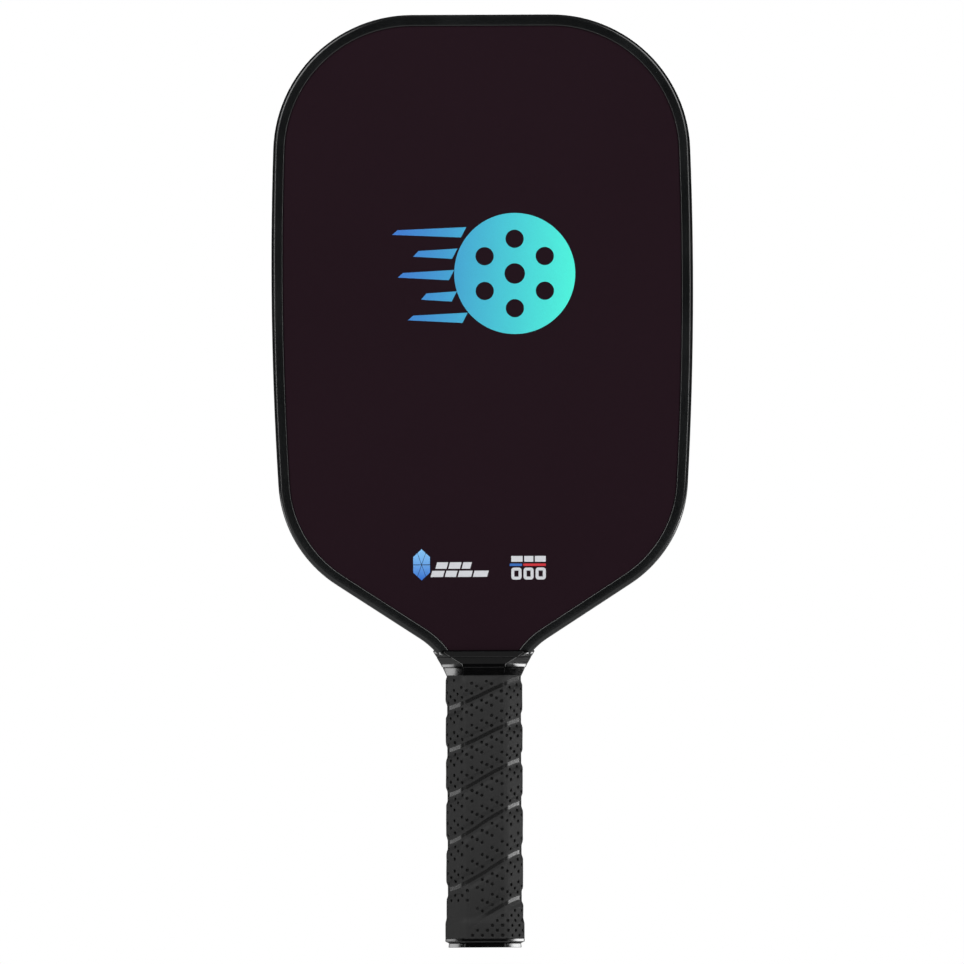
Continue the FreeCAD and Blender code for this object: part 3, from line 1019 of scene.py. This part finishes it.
def has_hole(column, row):
    """The pattern of the holes: full rows, and between them rows with every other one."""
    if row % 2 == 0:
        return column % 2 == 0
    return row % 4 == 1 and column % 2 == 1


def block_rows():
    """The rows of blocks across the tape: first fine row, fine rows, hole row or None."""
    edge = len(EDGE_STEPS)
    rows = [(0, edge, None)]
    for row in range(HOLE_ROWS):
        rows.append((edge + FINE * row, FINE, row))
    rows.append((edge + FINE * HOLE_ROWS, edge, None))
    return rows


def across_tape(row):
    """The share of the way across the tape for a fine row, from its upper edge."""
    edge = len(EDGE_STEPS)
    total = 2 * edge + FINE * HOLE_ROWS
    if row < edge:
        return EDGE_STEPS[row] / PITCH
    if row > total:
        return 1 + across_tape(row - total)
    if row > edge + FINE * HOLE_ROWS:
        return 1 - across_tape(total - row)
    return MARGIN + (1 - 2 * MARGIN) * (row - edge) / (FINE * HOLE_ROWS)


def upper_tape(handle, sizes):
    """The turns of tape above its first, wound in one spiral up to the collar."""
    turn = COLUMNS * FINE
    total = 2 * len(EDGE_STEPS) + FINE * HOLE_ROWS
    last = round(TAPE_START * COLUMNS) * FINE
    first = last - TURNS * turn
    top = sizes.wrap_top

    def place(column, row):
        share = column / turn
        across = across_tape(row)
        upper, lower = front_share(share - 1), front_share(share)
        level = upper + (lower - upper) * across
        return share, min(top, edge_height(level))

    def same(column, row):
        if column == last and row <= len(EDGE_STEPS):
            return column - turn, total + row
        if row == 0 and column - turn >= first:
            return column - turn, total
        return column, row

    def sink(share, height):
        beyond = edge_height(front_share(share)) - height
        return TUCK * ease(beyond, EDGE_STEPS[-1] * MM, MARGIN * PITCH * MM)

    tape = TapeMesh(handle, sizes, place, same, sink)
    kept = set()
    rows = block_rows()
    rows.append((total, len(EDGE_STEPS), None))
    for column in range(first, last, FINE):
        for order, (row, count, _) in enumerate(rows):
            if order == len(rows) - 1 and column < last - turn:
                continue
            corners = [(column + a, row + b) for a in (0, FINE) for b in (0, count)]
            lowest = min(place(*corner)[1] for corner in corners)
            if lowest < top - TOP_REACH:
                kept.add((column, order))
    for column, order in sorted(kept):
        row, count, hole_row = rows[order]
        corners = [(column + a, row + b) for a in (0, FINE) for b in (0, count)]
        highest = max(place(*corner)[1] for corner in corners)
        number = column // FINE
        clear = highest < top - TOP_GAP and column < last - FINE
        if hole_row is not None and clear and has_hole(number, hole_row):
            tape.hole(column, row)
        else:
            tape.plain(column, row, FINE, count)
        tape.inside(column, row, FINE, count)
        near = neighbours(column, order, len(rows) - 1, turn, last)
        if near["left"] not in kept:
            tape.wall((column, row), (column, row + count))
        if near["right"] not in kept:
            tape.wall((column + FINE, row), (column + FINE, row + count))
        if near["above"] not in kept:
            tape.wall((column, row), (column + FINE, row))
        if near["below"] not in kept:
            tape.wall((column, row + count), (column + FINE, row + count))
    return tape.build("grip_tape_upper")


def neighbours(column, order, orders, turn, last):
    """The blocks on the four sides of a block of the spiral."""
    above = (column, order - 1) if order > 0 else (column - turn, orders - 1)
    below = (column, order + 1)
    if order == orders - 1 and column + turn < last:
        below = (column + turn, 0)
    left = (column - FINE, order)
    if order == orders and column == last - turn:
        left = (last - FINE, 0)
    right = (column + FINE, order)
    if order == 0 and column == last - FINE:
        right = (last - turn, orders)
    return {"left": left, "right": right, "above": above, "below": below}


def cover_height(share):
    """Where the first turn goes under the spiral that lies over it."""
    share = share % 1.0
    turn = 5 if share < TAPE_START - 5 else 4
    return edge_height(front_share(turn + share)) - EDGE_STEPS[-1] * MM


def lower_tape(handle, sizes):
    """The first turn of tape, laid level round the butt, up to the turn over it."""
    turn = COLUMNS * FINE
    start = sizes.wrap_bottom

    def place(column, row):
        share = column / turn
        if row == 0:
            return share, start
        return share, start + (LOWER_START + LOWER_ROW * row / FINE) * MM

    def same(column, row):
        return column % turn, row

    def covers(column, spread):
        places = range(column - spread, column + FINE + spread + 1)
        return [cover_height(number / turn) for number in places]

    def sink(share, height):
        return SINK * ease(height - cover_height(share), *SINK_FADE)

    tape = TapeMesh(handle, sizes, place, same, sink)
    kept = set()
    for column in range(0, turn, FINE):
        for row in range(LOWER_ROWS):
            if place(column, row * FINE)[1] < max(covers(column, FINE)) + UNDERLAP:
                kept.add((column, row))
    for column, row in sorted(kept):
        low = place(column, row * FINE)[1]
        share = column / turn
        number = column // FINE
        covered = low + LOWER_ROW * MM > min(covers(column, 0)) - HOLE_GAP
        plain = PLAIN_TURNS[0] < share < PLAIN_TURNS[1] and low < PLAIN_TOP
        staggered = (number + row) % 2 == 0
        if staggered and not covered and not plain:
            tape.hole(column, row * FINE)
        else:
            tape.plain(column, row * FINE, FINE, FINE)
        tape.inside(column, row * FINE, FINE, FINE)
        left = ((column - FINE) % turn, row)
        right = ((column + FINE) % turn, row)
        if left not in kept:
            tape.wall((column, row * FINE), (column, row * FINE + FINE))
        if right not in kept:
            tape.wall((column + FINE, row * FINE), (column + FINE, row * FINE + FINE))
        if (column, row - 1) not in kept:
            tape.wall((column, row * FINE), (column + FINE, row * FINE))
        if (column, row + 1) not in kept:
            tape.wall((column, row * FINE + FINE), (column + FINE, row * FINE + FINE))
    return tape.build("grip_tape_lower")


# ---------------------------------------------------------------- printed marks

# The ink's height over the face and its depth in it, in millimetres.
INK = 0.06
SUNK = 0.02
# Middle, radius and sides of the ball, and its holes: number, first angle, distance from the
# middle, radius and sides. In millimetres and degrees, as are all the marks below.
BALL = (14.6, 302.7, 27.2, 96)
BALL_HOLES = (6, 30, 15.6, 4.1, 40)
MIDDLE_HOLE = 4.6
# Bars: left, right, bottom, top, lean of the top to the right, and taper towards the left.
STREAKS = [
    (-40.4, -9.5, 319.0, 323.6, 2.4, 0.55),
    (-31.0, -13.5, 309.4, 314.0, 2.4, 0.45),
    (-38.0, -15.0, 299.8, 304.4, 2.4, 0.55),
    (-27.5, -13.8, 290.2, 294.8, 2.4, 0.40),
    (-33.5, -9.0, 280.6, 285.2, 2.4, 0.55),
]
# Rows of bars: bottom, top and lean, then the left and right of each bar.
BAR_ROWS = [
    (170.2, 173.1, 0.8, [(-21.6, -16.6), (-15.8, -10.6), (-9.8, -6.0)]),
    (166.5, 169.3, 0.8, [(-23.8, -18.2), (-17.4, -12.4), (-11.6, -5.6), (-4.8, 1.6)]),
    (173.2, 175.8, 0.0, [(12.5, 17.6), (18.3, 22.4), (23.1, 28.0)]),
]
# Rounded rings: their bottom and top, rounding and width, and the left and right of each.
RINGS = (165.2, 170.6, 1.2, 1.35, [(12.5, 17.1), (18.0, 22.5), (23.4, 28.0)])
# The coloured lines' bottom and top, and the left and right of each.
LINE_HEIGHTS = (171.3, 172.4)
BLUE_LINE = (11.8, 17.3)
RED_LINE = (17.9, 28.0)
# The icon: its middle, radius, half the gap between facets, and narrowing.
ICON = (-27.8, 172.0, 7.0, 0.14, 0.62)


def turn_to_back(piece):
    """Carries a finished mark from the front face round to the back face."""
    piece.rotation_euler = (0, 0, math.pi)
    settle(piece)


def raise_ink(piece, side, sizes):
    """Turns flat shapes that face the front into a thin layer of ink on a face."""
    thicken(piece, INK + SUNK)
    piece.location = (0, SUNK * MM - sizes.panel_half, 0)
    settle(piece)
    if side > 0:
        turn_to_back(piece)
        tidy_surface(piece, FINE_MERGE)
    return piece


def thicken(piece, amount):
    """Gives a flat shape a thickness towards the front, in millimetres."""
    edit(piece)
    bpy.ops.mesh.select_all(action="SELECT")
    bpy.ops.mesh.extrude_region_move(TRANSFORM_OT_translate={"value": (0, -amount * MM, 0)})
    bpy.ops.object.mode_set(mode="OBJECT")
    tidy_surface(piece, FINE_MERGE)


def slanted_bar(left, right, low, high, lean, taper=0.0):
    """A bar whose ends lean to the right, and which may narrow towards its left."""
    centre = ((left + right) / 2 * MM, 0, (low + high) / 2 * MM)
    piece = add_plane(centre, (right - left) * MM, (high - low) * MM)
    edit(piece)
    pick(piece, "verts", lambda v: v.co.z > centre[2])
    bpy.ops.transform.translate(value=(lean * MM, 0, 0))
    if taper:
        pick(piece, "verts", lambda v: v.co.x < centre[0])
        bpy.ops.transform.resize(
            value=(1, 1, 1 - taper), center_override=(left * MM, 0, centre[2])
        )
    bpy.ops.object.mode_set(mode="OBJECT")
    return piece


def disc(x, z, radius, sides):
    """A flat disc that faces the front."""
    start_clean()
    bpy.ops.mesh.primitive_circle_add(
        vertices=sides,
        radius=radius * MM,
        fill_type="NGON",
        location=(x * MM, 0, z * MM),
        rotation=UPRIGHT,
    )
    return settle(bpy.context.object)


def ball_mark():
    """A round ball with holes in it."""
    x, z, radius, sides = BALL
    count, start, reach, hole, hole_sides = BALL_HOLES
    ball = disc(x, z, radius, sides)
    holes = [disc(x, z, MIDDLE_HOLE, hole_sides)]
    for index in range(count):
        angle = math.radians(start + 360 / count * index)
        place = (x + reach * math.cos(angle), z + reach * math.sin(angle))
        holes.append(disc(*place, hole, hole_sides))
    thicken(ball, INK)
    for piece in holes:
        thicken(piece, 4 * INK)
    cutter = join(holes, "ball_holes")
    cutter.location = (0, 1.5 * INK * MM, 0)
    settle(cutter)
    apply_modifier(ball, "BOOLEAN", operation="DIFFERENCE", object=cutter, solver="EXACT")
    bpy.data.objects.remove(cutter)
    return ball


def emblem(side, face, sizes):
    """The large mark: a ball with streaks behind it."""
    streaks = join([slanted_bar(*row) for row in STREAKS], "streaks")
    raise_ink(streaks, -1, sizes)
    ball = ball_mark()
    ball.location = (0, SUNK * MM - sizes.panel_half, 0)
    settle(ball)
    tidy_surface(ball, FINE_MERGE)
    piece = join([ball, streaks], face + "_emblem")
    if side > 0:
        turn_to_back(piece)
    return piece


def light_marks(side, face, sizes):
    """Plain light bars and rounded rings near the throat."""
    marks = []
    for low, high, lean, places in BAR_ROWS:
        marks += [slanted_bar(left, right, low, high, lean) for left, right in places]
    low, high, rounding, width, places = RINGS
    for left, right in places:
        ring = slanted_bar(left, right, low, high, 0.0)
        edit(ring)
        bpy.ops.mesh.select_all(action="SELECT")
        bpy.ops.mesh.bevel(offset=rounding * MM, segments=5, affect="VERTICES")
        bpy.ops.mesh.select_mode(type="FACE")
        bpy.ops.mesh.select_all(action="SELECT")
        bpy.ops.mesh.inset(thickness=width * MM)
        bpy.ops.mesh.delete(type="FACE")
        bpy.ops.object.mode_set(mode="OBJECT")
        marks.append(ring)
    return raise_ink(join(marks, face + "_light_marks"), side, sizes)


def coloured_line(side, sizes, place, name):
    bar = slanted_bar(*place, *LINE_HEIGHTS, 0.0)
    return raise_ink(name_piece(bar, name), side, sizes)


def icon(side, face, sizes):
    """A small hexagon split into facets by thin gaps."""
    facets = []
    x, z, radius, gap, narrowing = ICON
    for index in range(6):
        wedge = disc(x, z, radius, 6)
        edit(wedge)
        start = math.radians(60 * index)
        for angle, inside in ((start, 1), (start + math.radians(60), -1)):
            normal = (-math.sin(angle) * inside, 0, math.cos(angle) * inside)
            place = ((x + normal[0] * gap) * MM, 0, (z + normal[2] * gap) * MM)
            bpy.ops.mesh.select_all(action="SELECT")
            bpy.ops.mesh.bisect(plane_co=place, plane_no=normal, clear_inner=True)
        bpy.ops.mesh.select_all(action="SELECT")
        bpy.ops.transform.resize(
            value=(narrowing, 1, 1), center_override=(x * MM, 0, z * MM)
        )
        bpy.ops.object.mode_set(mode="OBJECT")
        facets.append(wedge)
    return raise_ink(join(facets, face + "_icon"), side, sizes)


# ---------------------------------------------------------------- operators


class PADDLE_OT_faces(bpy.types.Operator):
    """Finish the two hitting faces"""

    bl_idname = "paddle.faces"
    bl_label = "Hitting Faces"

    def execute(self, context):
        material = laminate(context.scene.paddle_finishes)
        for node in ("front_face_sheet", "back_face_sheet"):
            paint(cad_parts[node], material)
        return {"FINISHED"}


class PADDLE_OT_guard(bpy.types.Operator):
    """Model the edge guard round the head"""

    bl_idname = "paddle.guard"
    bl_label = "Edge Guard"

    def execute(self, context):
        piece = guard_strip(context.scene.paddle_head)
        smooth(piece, 40)
        material = guard_plastic(context.scene.paddle_finishes)
        finish_piece(piece, material, "guard_plastic", "edge_guard")
        return {"FINISHED"}


class PADDLE_OT_collar(bpy.types.Operator):
    """Model the flared collar at the throat"""

    bl_idname = "paddle.collar"
    bl_label = "Throat Collar"

    def execute(self, context):
        material = collar_plastic(context.scene.paddle_finishes)
        finish_piece(collar(), material, "collar_plastic", "throat_collar")
        return {"FINISHED"}


class PADDLE_OT_grip(bpy.types.Operator):
    """Wind the perforated tape on the handle"""

    bl_idname = "paddle.grip"
    bl_label = "Grip Tape"

    def execute(self, context):
        sizes = context.scene.paddle_handle
        handle = Handle(sizes)
        pieces = [lower_tape(handle, sizes), upper_tape(handle, sizes)]
        for piece in pieces:
            tidy_surface(piece, TAPE_MERGE)
        material = grip_leather(context.scene.paddle_finishes)
        for piece in pieces:
            smooth(piece, 50)
            finish_piece(piece, material, "grip_tape", "grip_wrap")
        return {"FINISHED"}


class PADDLE_OT_butt(bpy.types.Operator):
    """Model the rim of the butt cap and its end plate"""

    bl_idname = "paddle.butt"
    bl_label = "Butt Cap"

    def execute(self, context):
        sizes = context.scene.paddle_handle
        material = cap_plastic(context.scene.paddle_finishes)
        finish_piece(butt_rim(sizes), material, "cap_plastic", "butt_cap")
        finish_piece(end_plate(sizes), material, "cap_plastic", "butt_end_plate")
        return {"FINISHED"}


class PADDLE_OT_marks(bpy.types.Operator):
    """Print the generic marks on both faces"""

    bl_idname = "paddle.marks"
    bl_label = "Printed Marks"

    def execute(self, context):
        sizes = context.scene.paddle_head
        tones = context.scene.paddle_finishes
        light = plain_ink("light_ink", tones.print_light)
        blue = plain_ink("blue_ink", scaled(tones.print_left, 0.8))
        red = plain_ink("red_ink", tones.print_red)
        crystal = icon_ink(tones)
        for side, face in ((-1, "front"), (1, "back")):
            blend = print_blend(face + "_blended_ink", tones, side)
            finish_piece(emblem(side, face, sizes), blend, "face_laminate")
            finish_piece(light_marks(side, face, sizes), light, "face_laminate")
            finish_piece(icon(side, face, sizes), crystal, "face_laminate")
            line = coloured_line(side, sizes, BLUE_LINE, face + "_blue_line")
            finish_piece(line, blue, "face_laminate")
            line = coloured_line(side, sizes, RED_LINE, face + "_red_line")
            finish_piece(line, red, "face_laminate")
        return {"FINISHED"}


class PADDLE_OT_inside(bpy.types.Operator):
    """Finish the pieces inside the paddle"""

    bl_idname = "paddle.inside"
    bl_label = "Inside Pieces"

    def execute(self, context):
        core = inner_finish("milky_core_plastic", (0.80, 0.82, 0.80), 0.55, 900.0)
        glue = inner_finish("amber_adhesive", (0.52, 0.40, 0.20), 0.35, 600.0)
        tape = inner_finish("white_foam_tape", (0.74, 0.74, 0.71), 0.85, 1800.0)
        pallet = inner_finish("dark_pallet_plastic", (0.045, 0.045, 0.047), 0.60, 1200.0)
        vinyl = inner_finish("black_vinyl_tape", (0.012, 0.012, 0.012), 0.40, 1500.0)
        steel = inner_finish("staple_wire", (0.62, 0.62, 0.62), 0.30, 2500.0, 1.0)
        finishes = {
            "honeycomb_core": core,
            "front_bond_film": glue,
            "back_bond_film": glue,
            "edge_guard_tape": tape,
            "front_handle_pallet": pallet,
            "back_handle_pallet": pallet,
            "front_pallet_tape": tape,
            "back_pallet_tape": tape,
            "finishing_tape": vinyl,
            "butt_cap_staples": steel,
        }
        for node, material in finishes.items():
            paint(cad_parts[node], material)
        return {"FINISHED"}


class PADDLE_OT_stage(bpy.types.Operator):
    """Set up the floor, the lights and the camera"""

    bl_idname = "paddle.stage"
    bl_label = "Stage"

    def execute(self, context):
        make_floor(context.scene.paddle_finishes)
        make_lights()
        make_world()
        make_camera()
        context.scene.view_settings.view_transform = "Standard"
        return {"FINISHED"}


FLOOR_SIZE = 6.0


def make_floor(tones):
    """A plain pale floor."""
    start_clean()
    bpy.ops.mesh.primitive_plane_add(size=FLOOR_SIZE, location=(0, 0, 0))
    floor = name_piece(bpy.context.object, "studio_floor")
    g = Graph("pale_floor")
    grain = g.noise(40.0, 4.0)
    tint = g.blend(g.spread(grain, 0.0, 1.0), scaled(tones.floor, 0.985), tones.floor)
    paint(floor, g.set(Base_Color=tint, Roughness=0.9))


def add_light(name, place, target, width, height, power):
    """A rectangular soft light that looks at its target."""
    start_clean()
    bpy.ops.object.light_add(type="AREA", location=place)
    light = bpy.context.object
    light.name = name
    light.data.shape = "RECTANGLE"
    light.data.size = width
    light.data.size_y = height
    light.data.energy = power
    way = Vector(target) - Vector(place)
    light.rotation_euler = way.to_track_quat("-Z", "Y").to_euler()


# Lights: name, place, target, width, height and power.
HEAD_AIM = (0, 0, 0.22)
FRONT_AIM = (0, 0, 0.29)
LIGHTS = [
    ("left_key", (-0.80, -0.95, 0.95), HEAD_AIM, 0.6, 1.0, 11.0),
    ("right_key", (0.80, -0.95, 0.95), HEAD_AIM, 0.6, 1.0, 11.0),
    ("left_fill", (-0.55, -0.78, 0.29), FRONT_AIM, 0.16, 0.22, 0.85),
    ("right_fill", (0.55, -0.78, 0.29), FRONT_AIM, 0.16, 0.22, 0.85),
    ("left_strip", (-0.45, 0.02, 0.09), (0, 0, 0.09), 0.08, 0.13, 0.26),
    ("right_strip", (0.45, 0.02, 0.05), (0, 0, 0.05), 0.08, 0.09, 0.44),
    ("right_rim", (0.45, 0.12, 0.13), (0, 0, 0.11), 0.03, 0.07, 0.10),
    ("back_softbox", (0, 1.3, 0.75), HEAD_AIM, 0.9, 0.9, 9.0),
    ("top_softbox", (0, -0.16, 1.3), (0, -0.02, 0.2), 0.9, 0.5, 0.38),
]


def make_lights():
    """Soft keys and fills at the front, strips beside the handle, and a back and top light."""
    for row in LIGHTS:
        add_light(*row)


# The strength of the plain white surroundings as they are seen, and as they light.
SEEN_STRENGTH = 1.0
FILL_STRENGTH = 0.03


def make_world():
    """Plain white surroundings that light the paddle only a little."""
    world = bpy.data.worlds.new("studio")
    world.use_nodes = True
    nodes, links = world.node_tree.nodes, world.node_tree.links
    seen = nodes["Background"]
    fill = nodes.new("ShaderNodeBackground")
    for background, strength in ((seen, SEEN_STRENGTH), (fill, FILL_STRENGTH)):
        background.inputs["Color"].default_value = (1, 1, 1, 1)
        background.inputs["Strength"].default_value = strength
    path = nodes.new("ShaderNodeLightPath")
    mix = nodes.new("ShaderNodeMixShader")
    links.new(path.outputs["Is Camera Ray"], mix.inputs["Fac"])
    links.new(fill.outputs["Background"], mix.inputs[1])
    links.new(seen.outputs["Background"], mix.inputs[2])
    links.new(mix.outputs["Shader"], nodes["World Output"].inputs["Surface"])
    bpy.context.scene.world = world


# The camera: the height and width of its view, its place, and its roll in degrees.
VIEW_SIZE = 0.4330
CAMERA_PLACE = (-0.0005, -2.0, 0.2091)
CAMERA_ROLL = 0.24


def make_camera():
    """A camera straight in front of the paddle."""
    data = bpy.data.cameras.new("camera")
    data.type = "ORTHO"
    data.ortho_scale = VIEW_SIZE
    camera = bpy.data.objects.new("camera", data)
    camera.location = CAMERA_PLACE
    camera.rotation_euler = (math.pi / 2, math.radians(CAMERA_ROLL), 0)
    bpy.context.scene.collection.objects.link(camera)
    bpy.context.scene.camera = camera


class PADDLE_PT_panel(bpy.types.Panel):
    """Sizes, colours and steps of the paddle"""

    bl_label = "Pickleball Paddle"
    bl_space_type = "VIEW_3D"
    bl_region_type = "UI"
    bl_category = "Paddle"

    def draw(self, context):
        for group in ("paddle_head", "paddle_handle", "paddle_finishes"):
            box = self.layout.box()
            settings = getattr(context.scene, group)
            for name in settings.__annotations__:
                box.prop(settings, name)
        for step in STEPS:
            self.layout.operator(step.bl_idname)


STEPS = (
    PADDLE_OT_faces,
    PADDLE_OT_guard,
    PADDLE_OT_collar,
    PADDLE_OT_grip,
    PADDLE_OT_butt,
    PADDLE_OT_marks,
    PADDLE_OT_inside,
    PADDLE_OT_stage,
)
CLASSES = (HeadSizes, HandleSizes, Finishes, *STEPS, PADDLE_PT_panel)


def register():
    for kind in CLASSES:
        bpy.utils.register_class(kind)
    bpy.types.Scene.paddle_head = PointerProperty(type=HeadSizes)
    bpy.types.Scene.paddle_handle = PointerProperty(type=HandleSizes)
    bpy.types.Scene.paddle_finishes = PointerProperty(type=Finishes)


def unregister():
    del bpy.types.Scene.paddle_finishes
    del bpy.types.Scene.paddle_handle
    del bpy.types.Scene.paddle_head
    for kind in reversed(CLASSES):
        bpy.utils.unregister_class(kind)


def main():
    register()
    bpy.ops.paddle.faces()
    bpy.ops.paddle.guard()
    bpy.ops.paddle.collar()
    bpy.ops.paddle.grip()
    bpy.ops.paddle.butt()
    bpy.ops.paddle.marks()
    bpy.ops.paddle.inside()
    bpy.ops.paddle.stage()


if __name__ == "__main__":
    main()
